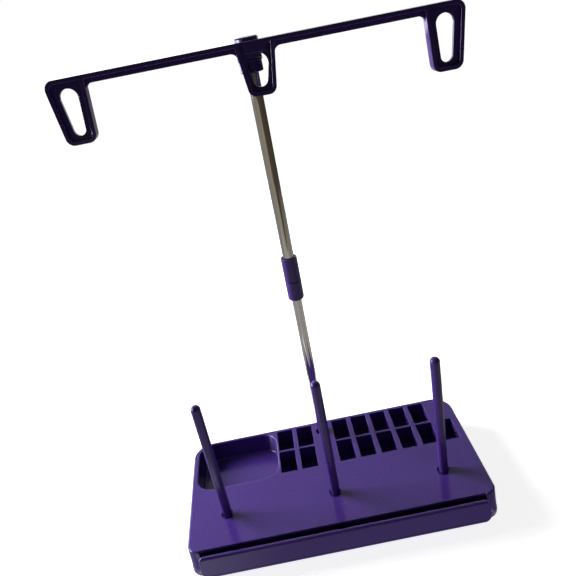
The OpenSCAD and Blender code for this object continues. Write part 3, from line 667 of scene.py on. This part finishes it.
@dataclass
class SpoolPins(SubAssembly):
    """Three plain pins with domed tips."""

    radius: float = 3.3 * MM
    tenon_r: float = 2.8 * MM
    tenon_edge: float = 0.4 * MM
    shoulder_edge: float = 0.12 * MM
    foot_z: float = 16.0 * MM
    top_z: float = 24.0 * MM
    tip_z: float = 120.7 * MM
    dome_steps: int = 14
    pitch: float = 78.25 * MM
    y: float = -25.5 * MM

    def build(self) -> None:
        """Builds and dresses the three pins."""
        for place, side in (("left", -1), ("middle", 0), ("right", 1)):
            pin = Workshop.turned(f"pin_{place}", (side * self.pitch, self.y), self.section())
            self.settle(pin, Body.BASE, PURPLE, f"spool_pin_{place}")

    def section(self) -> list[Point]:
        """Gives the half section of a pin, from its tenon to its dome.

        Returns:
            The section's corners.
        """
        r = self.radius
        angles = [math.radians(90 * k / self.dome_steps) for k in range(self.dome_steps)]
        dome = [(r * math.cos(a), self.tip_z - r + r * math.sin(a), 0.0) for a in angles]
        return [(0.0, self.foot_z, 0.0), (self.tenon_r, self.foot_z, self.tenon_edge),
                (self.tenon_r, self.top_z, 0.0), (r, self.top_z, self.shoulder_edge),
                *dome, (0.0, self.tip_z, 0.0)]


@dataclass
class Mast(SubAssembly):
    """Two chromed tubes, one sliding on the other, and what holds them in the base."""

    wall: float = 0.4 * MM
    lower_r: float = 3.45 * MM
    lower_z: Pair = (8.9 * MM, 182.9 * MM)
    upper_r: float = 3.9 * MM
    upper_z: Pair = (165.1 * MM, 309.3 * MM)

    def build(self) -> None:
        """Builds and dresses the mast."""
        lower = Workshop.turned("mast_lower_tube", MAST_AXIS, self.tube(self.lower_r, *self.lower_z), closed=True)
        self.settle(lower, Body.BASE, CHROME, "lower_tube")
        upper = Workshop.turned("mast_upper_tube", MAST_AXIS, self.tube(self.upper_r, *self.upper_z), closed=True)
        self.settle(upper, Body.MAST, CHROME, "upper_tube")
        for node, finish in (("foot_plug", NYLON), ("guide_bush", NYLON),
                             ("mast_screw", STEEL), ("mast_washer", STEEL)):
            self.keep(node, finish)

    def tube(self, r: float, low: float, high: float) -> list[Point]:
        """Gives the half section of a tube.

        Args:
            r: Outer radius.
            low: Height of its foot.
            high: Height of its upper end.

        Returns:
            The section's corners.
        """
        soft = self.wall / 4
        return [(r, low, soft), (r, high, soft), (r - self.wall, high, soft), (r - self.wall, low, soft)]


@dataclass
class HeightLock(SubAssembly):
    """Collar, nut and grip ring that hold the mast's height."""

    radius: float = 5.7 * MM
    pass_r: float = 3.55 * MM
    nut_z: Pair = (147.2 * MM, 161.8 * MM)
    nut_lip: float = 1.5 * MM
    nut_bore_r: float = 5.0 * MM
    nut_edges: Pair = (1.6 * MM, 0.3 * MM)
    collar_z: Pair = (162.1 * MM, 180.0 * MM)
    collar_edges: Pair = (0.4 * MM, 0.3 * MM)
    neck_z: float = 155.1 * MM
    neck_r: float = 4.9 * MM
    seat_z: float = 165.1 * MM
    dish: float = 1.0 * MM
    dish_edge: float = 0.15 * MM

    def build(self) -> None:
        """Builds and dresses the lock."""
        nut = Workshop.turned("height_lock_nut", MAST_AXIS, self.nut_section(), closed=True)
        self.settle(nut, Body.NUT, PURPLE, "lock_nut")
        collar = Workshop.turned("height_lock_collar", MAST_AXIS, self.collar_section(), closed=True)
        self.settle(collar, Body.MAST, PURPLE, "lock_collar")
        self.keep("grip_ring", NYLON)

    def nut_section(self) -> list[Point]:
        """Gives the half section of the nut.

        Returns:
            The section's corners.
        """
        (low, high), (low_edge, high_edge) = self.nut_z, self.nut_edges
        lip = low + self.nut_lip
        return [(self.pass_r, low, 0.0), (self.radius, low, low_edge), (self.radius, high, high_edge),
                (self.nut_bore_r, high, 0.0), (self.nut_bore_r, lip, 0.0), (self.pass_r, lip, 0.0)]

    def collar_section(self) -> list[Point]:
        """Gives the half section of the collar, with its neck and dished top.

        Returns:
            The section's corners.
        """
        (low, high), (low_edge, high_edge) = self.collar_z, self.collar_edges
        return [(self.pass_r, self.neck_z, 0.0), (self.neck_r, self.neck_z, 0.0), (self.neck_r, low, 0.0),
                (self.radius, low, low_edge), (self.radius, high, high_edge),
                (self.radius - self.dish / 2, high, self.dish_edge), (TUBE_SEAT_R, high - self.dish, 0.0),
                (TUBE_SEAT_R, self.seat_z, 0.0), (self.pass_r, self.seat_z, 0.0)]


@dataclass
class GuideArm(SubAssembly):
    """Carrier on the mast and the thread guide arm that turns on it."""

    arm_edge: float = 0.4 * MM
    socket_z: Pair = (303.8 * MM, 310.3 * MM)
    socket_r: float = 7.1 * MM
    socket_edges: Pair = (0.6 * MM, 0.15 * MM)
    mouth_edge: float = 0.1 * MM
    seat_top: float = 309.3 * MM
    flange_r: float = 7.7 * MM
    flange_t: float = 1.2 * MM
    flange_edge: float = 0.3 * MM
    spigot_r: float = 4.5 * MM
    spigot_h: float = 8.6 * MM
    spigot_edge: float = 0.5 * MM

    def build(self) -> None:
        """Builds and dresses the carrier and the arm."""
        carrier = Workshop.turned("arm_socket", MAST_AXIS, self.carrier_section())
        self.settle(carrier, Body.MAST, PURPLE, "arm_carrier")
        arm = Workshop.softened("thread_arm", "guide_arm", self.arm_edge)
        self.settle(arm, Body.ARM, PURPLE, "thread_arm")

    def carrier_section(self) -> list[Point]:
        """Gives the half section of the carrier, from its seat to its spigot.

        Returns:
            The section's corners.
        """
        (low, flange), (low_edge, high_edge) = self.socket_z, self.socket_edges
        top = flange + self.flange_t
        tip = top + self.spigot_h
        return [(0.0, self.seat_top, 0.0), (TUBE_SEAT_R, self.seat_top, 0.0), (TUBE_SEAT_R, low, self.mouth_edge),
                (self.socket_r, low, low_edge), (self.socket_r, flange, high_edge),
                (self.flange_r, flange, self.flange_edge), (self.flange_r, top, self.flange_edge),
                (self.spigot_r, top, 0.0), (self.spigot_r, tip, self.spigot_edge), (0.0, tip, 0.0)]


@dataclass(frozen=True)
class Softbox:
    """A square lamp that looks at a point. It lights but stays out of gloss, where the glowing cards paint its
    highlights and reflections in its place.
    """

    name: str
    place: Point
    target: Point
    size: float
    radiance: float

    def build(self) -> None:
        """Puts the lamp in the scene."""
        lamp = bpy.data.lights.new(self.name, "AREA")
        lamp.shape = "SQUARE"
        lamp.size = self.size
        lamp.energy = self.radiance * self.size * self.size * math.pi
        obj = bpy.data.objects.new(self.name, lamp)
        bpy.context.scene.collection.objects.link(obj)
        obj.location = self.place
        look = Vector(self.target) - Vector(self.place)
        obj.rotation_mode = "QUATERNION"
        obj.rotation_quaternion = look.to_track_quat("-Z", "Y")
        obj.visible_glossy = False


def grey(level: float) -> Colour:
    """Gives a plain grey.

    Args:
        level: How bright it is.

    Returns:
        The colour.
    """
    return (level, level, level)


def lying(x: Pair, y: Pair, z: float = CARD_LIFT) -> Quad:
    """Places a level card, which drifts along X.

    Args:
        x: Its ends along X.
        y: Its ends along Y.
        z: Its height.

    Returns:
        The card's corners.
    """
    return ((x[0], y[0], z), (x[1], y[0], z), (x[1], y[1], z), (x[0], y[1], z))


def along_x(x: Pair, y: float, z: Pair) -> Quad:
    """Places an upright card, which drifts along X.

    Args:
        x: Its ends along X.
        y: Its place along Y.
        z: Its foot and top.

    Returns:
        The card's corners.
    """
    return ((x[0], y, z[0]), (x[1], y, z[0]), (x[1], y, z[1]), (x[0], y, z[1]))


def along_y(x: float, y: Pair, z: Pair) -> Quad:
    """Places an upright card, which drifts along Y.

    Args:
        x: Its place along X.
        y: Its ends along Y.
        z: Its foot and top.

    Returns:
        The card's corners.
    """
    return ((x, y[0], z[0]), (x, y[1], z[0]), (x, y[1], z[1]), (x, y[0], z[1]))


@dataclass(frozen=True)
class Card:
    """A glowing card that only shows in gloss: it paints a reflection into glossy faces, and the bright ones
    paint a highlight. One shade drifts into another.
    """

    name: str
    corners: Quad
    shade: Colour
    fade: Colour

    def build(self) -> None:
        """Puts the card in the scene. The shade is at its first and last corner."""
        mesh = bpy.data.meshes.new(self.name)
        mesh.from_pydata(list(self.corners), [], [(0, 1, 2, 3)])
        drift = mesh.attributes.new("drift", "FLOAT", "POINT")
        drift.data.foreach_set("value", (0.0, 1.0, 1.0, 0.0))
        paint = bpy.data.materials.new(self.name)
        paint.use_nodes = True
        tree = paint.node_tree
        tree.nodes.clear()
        glow = tree.nodes.new("ShaderNodeEmission")
        shade = Nodes.mix(tree, Nodes.marked(tree, "drift"), self.shade, self.fade)
        tree.links.new(shade, glow.inputs["Color"])
        # Gloss that is met after scattered light would speckle, so it sees no card
        scattered = tree.nodes.new("ShaderNodeLightPath").outputs["Diffuse Depth"]
        tree.links.new(Nodes.math(tree, "LESS_THAN", scattered, 0.5), glow.inputs["Strength"])
        out = tree.nodes.new("ShaderNodeOutputMaterial")
        tree.links.new(glow.outputs[0], out.inputs["Surface"])
        mesh.materials.append(paint)
        obj = bpy.data.objects.new(self.name, mesh)
        bpy.context.scene.collection.objects.link(obj)
        for ray in ("camera", "diffuse", "transmission", "volume_scatter", "shadow"):
            setattr(obj, f"visible_{ray}", False)


@dataclass
class Studio:
    """Camera, floor, lamps and the pale surroundings."""

    lens: float = 36.83
    sensor: float = 36.0
    clip: Pair = (0.01, 100.0)
    eye: Point = (-9.227 * MM, -333.107 * MM, 342.034 * MM)
    right: Point = (0.9802, -0.0887, -0.1772)
    ahead: Point = (0.0015, 0.8976, -0.4408)
    floor_size: float = 24.0
    floor_shade: float = 0.75
    floor_roughness: float = 0.9
    floor_bounce: Pair = (0.8, 0.02)
    bounce_reach: Pair = (0.16, 0.34)
    floor_glow: Pair = (0.84, 1.0)
    glow_reach: Pair = (0.12, 0.6)
    ambient: float = 0.07
    boxes: tuple[Softbox, ...] = (
        Softbox("key_box", (-0.72, 0.33, 0.37), (0.0, 0.0, 0.05), 0.5, 21.6),
    )
    cards: tuple[Card, ...] = (
        # Cards that paint the reflection of the room round the object: lighter behind it, dim above, in front and
        # at the sides
        Card("back_card", along_x((-3.0, 3.0), 2.0, (1.1, 3.0)), (0.68, 0.68, 0.70), (0.28, 0.28, 0.30)),
        Card("ceiling", lying((-3.0, 3.0), (-3.0, 1.2), 3.0), (0.16, 0.16, 0.17), grey(0.10)),
        Card("front_wall", along_x((-3.0, 3.0), -3.0, (0.0, 3.0)), (0.06, 0.055, 0.05), (0.04, 0.035, 0.03)),
        Card("left_wall", along_y(-3.0, (-3.0, 2.0), (0.9, 3.0)), (0.14, 0.14, 0.15), (0.14, 0.14, 0.15)),
        Card("right_wall", along_y(3.0, (-3.0, 2.0), (0.0, 3.0)), (0.08, 0.075, 0.07), (0.08, 0.075, 0.07)),
        # Bright cards that paint the highlights of windows at the back and the left; they light nothing
        Card("back_window_highlight", along_x((-2.4, 0.0), 2.2, (0.0, 0.8)), grey(2.6), grey(2.0)),
        Card("left_window_highlight", along_y(-1.0, (-0.28, 0.22), (0.20, 0.60)), (20.0, 20.0, 20.2), (20.0, 20.0, 20.2)),
        Card("far_window_highlight", along_y(-1.0, (0.25, 1.3), (0.15, 0.6)), (6.0, 6.0, 6.1), (6.0, 6.0, 6.1)),
        # Cards lying on the floor paint its reflection: grey near the object and brighter to the front left,
        # darker further off and to the right, and darkest beside the base's right side, in its shade
        Card("front_strip", lying((-0.14, -0.05), (-0.105, -0.064)), grey(1.35), grey(0.32)),
        Card("front_shade", lying((-0.05, 0.14), (-0.105, -0.064)), grey(0.32), grey(0.2)),
        Card("front_near", lying((-0.14, 0.05), (-0.4, -0.105)), (0.44, 0.422, 0.387), (0.36, 0.346, 0.317)),
        Card("front_turn", lying((0.05, 0.3), (-0.4, -0.105)), (0.36, 0.346, 0.317), (0.2, 0.192, 0.176)),
        Card("front_side", lying((0.3, 0.75), (-0.4, -0.105)), (0.24, 0.211, 0.163), (0.08, 0.07, 0.054)),
        Card("front_mid", lying((-0.15, 0.1), (-0.75, -0.4)), (0.36, 0.317, 0.245), (0.12, 0.106, 0.082)),
        Card("front_far", lying((-0.15, 0.1), (-1.9, -0.75)), (0.2, 0.176, 0.136), (0.08, 0.07, 0.054)),
        Card("front_left", lying((-3.0, -0.15), (-1.9, -0.4)), (0.16, 0.141, 0.109), (0.3, 0.264, 0.204)),
        Card("front_right", lying((0.1, 3.0), (-3.0, -0.4)), (0.07, 0.057, 0.043), (0.035, 0.029, 0.022)),
        Card("front_end", lying((-3.0, 0.1), (-3.0, -1.9)), (0.06, 0.049, 0.037), (0.04, 0.033, 0.025)),
        Card("left_far", lying((-3.0, -0.40), (-0.40, 2.2)), (0.22, 0.215, 0.20), (0.24, 0.235, 0.22)),
        Card("left_near", lying((-0.40, -0.112), (-0.064, 2.2)), (0.40, 0.40, 0.41), (0.30, 0.30, 0.31)),
        Card("left_front", lying((-0.40, -0.14), (-0.40, -0.064)), (0.40, 0.40, 0.41), (0.30, 0.30, 0.31)),
        Card("right_side_shadow", lying((0.105, 0.14), (-0.064, 3.0)), grey(0.12), grey(0.12)),
        Card("right_near", lying((0.14, 0.75), (-0.105, 3.0)), (0.38, 0.365, 0.334), (0.1, 0.096, 0.088)),
        Card("right_far", lying((0.75, 3.0), (-0.4, 3.0)), (0.06, 0.049, 0.037), (0.03, 0.025, 0.019)),
        Card("behind", lying((-0.112, 0.105), (0.1, 2.2)), grey(0.5), grey(0.4)),
    )

    def build(self) -> None:
        """Builds the studio."""
        self.camera()
        self.floor()
        self.surroundings()
        for lamp in self.boxes:
            lamp.build()
        for card in self.cards:
            card.build()
        bpy.context.scene.view_settings.view_transform = "Standard"
        LOG.info("studio: %d lamps, %d cards", len(self.boxes), len(self.cards))

    def camera(self) -> None:
        """Sets the camera where the photograph was taken from."""
        lens = bpy.data.cameras.new("camera")
        lens.sensor_width = self.sensor
        lens.lens = self.lens
        lens.clip_start, lens.clip_end = self.clip
        back = -Vector(self.ahead).normalized()
        side = Vector(self.right)
        side = (side - side.dot(back) * back).normalized()
        turn = Matrix((side, back.cross(side), back)).transposed()
        obj = bpy.data.objects.new("camera", lens)
        bpy.context.scene.collection.objects.link(obj)
        obj.matrix_world = Matrix.Translation(self.eye) @ turn.to_4x4()
        bpy.context.scene.camera = obj

    @staticmethod
    def seen(tree: Tree) -> Socket:
        """Gives a mask of the rays that see the background: camera, gloss and glass.

        Args:
            tree: The material's or the world's tree.

        Returns:
            The mask's socket.
        """
        path = tree.nodes.new("ShaderNodeLightPath")
        found = path.outputs["Is Camera Ray"]
        for ray in ("Is Glossy Ray", "Is Transmission Ray"):
            found = Nodes.math(tree, "MAXIMUM", found, path.outputs[ray])
        return found

    def floor(self) -> None:
        """Lays a plain pale floor that keeps the object's shadow.

        Scattered light sees an even bounce in place of the lamp's bright patch, which would speckle.
        """
        half = self.floor_size / 2
        mesh = bpy.data.meshes.new("floor")
        mesh.from_pydata(list(lying((-half, half), (-half, half), 0.0)), [], [(0, 1, 2, 3)])
        paint = bpy.data.materials.new("floor_paint")
        paint.use_nodes = True
        tree = paint.node_tree
        seen = self.seen(tree)
        away = tree.nodes.new("ShaderNodeVectorMath")
        away.operation = "LENGTH"
        tree.links.new(Nodes.place(tree), away.inputs[0])
        glow = tree.nodes.new("ShaderNodeMix")
        tree.links.new(seen, glow.inputs[Nodes.SHARE])
        levels = ((self.bounce_reach, self.floor_bounce), (self.glow_reach, self.floor_glow))
        for place, (reach, level) in zip(Nodes.NUMBERS, levels):
            drift = Nodes.spread(tree, away.outputs["Value"], reach, level, "SMOOTHSTEP")
            tree.links.new(drift, glow.inputs[place])
        shader = tree.nodes["Principled BSDF"]
        for label, value in (("Base Color", Nodes.mix(tree, seen, BLACK, grey(self.floor_shade))),
                             ("Roughness", self.floor_roughness), ("Specular IOR Level", 0.0),
                             ("Emission Color", WHITE), ("Emission Strength", glow.outputs[Nodes.MIXED_NUMBER])):
            Nodes.feed(tree, value, shader.inputs[label])
        mesh.materials.append(paint)
        obj = bpy.data.objects.new("floor", mesh)
        bpy.context.scene.collection.objects.link(obj)

    def surroundings(self) -> None:
        """Makes soft light from all round, and a white background."""
        world = bpy.data.worlds.new("surroundings")
        bpy.context.scene.world = world
        world.use_nodes = True
        tree = world.node_tree
        tree.nodes.clear()
        mix = tree.nodes.new("ShaderNodeMixShader")
        tree.links.new(self.seen(tree), mix.inputs[0])
        for place, strength in ((1, self.ambient), (2, 1.0)):
            light = tree.nodes.new("ShaderNodeBackground")
            Nodes.feed(tree, WHITE, light.inputs["Color"])
            light.inputs["Strength"].default_value = strength
            tree.links.new(light.outputs[0], mix.inputs[place])
        out = tree.nodes.new("ShaderNodeOutputWorld")
        tree.links.new(mix.outputs[0], out.inputs["Surface"])


def main() -> None:
    """Builds the studio and the sub-assemblies in order."""
    logging.basicConfig(level=logging.INFO, format="%(message)s")
    Studio().build()
    palette = Palette()
    for assembly in (Base, Drawer, SpoolPins, Mast, HeightLock, GuideArm):
        LOG.info("building %s", assembly.__name__)
        assembly(palette).build()


if __name__ == "__main__":
    main()
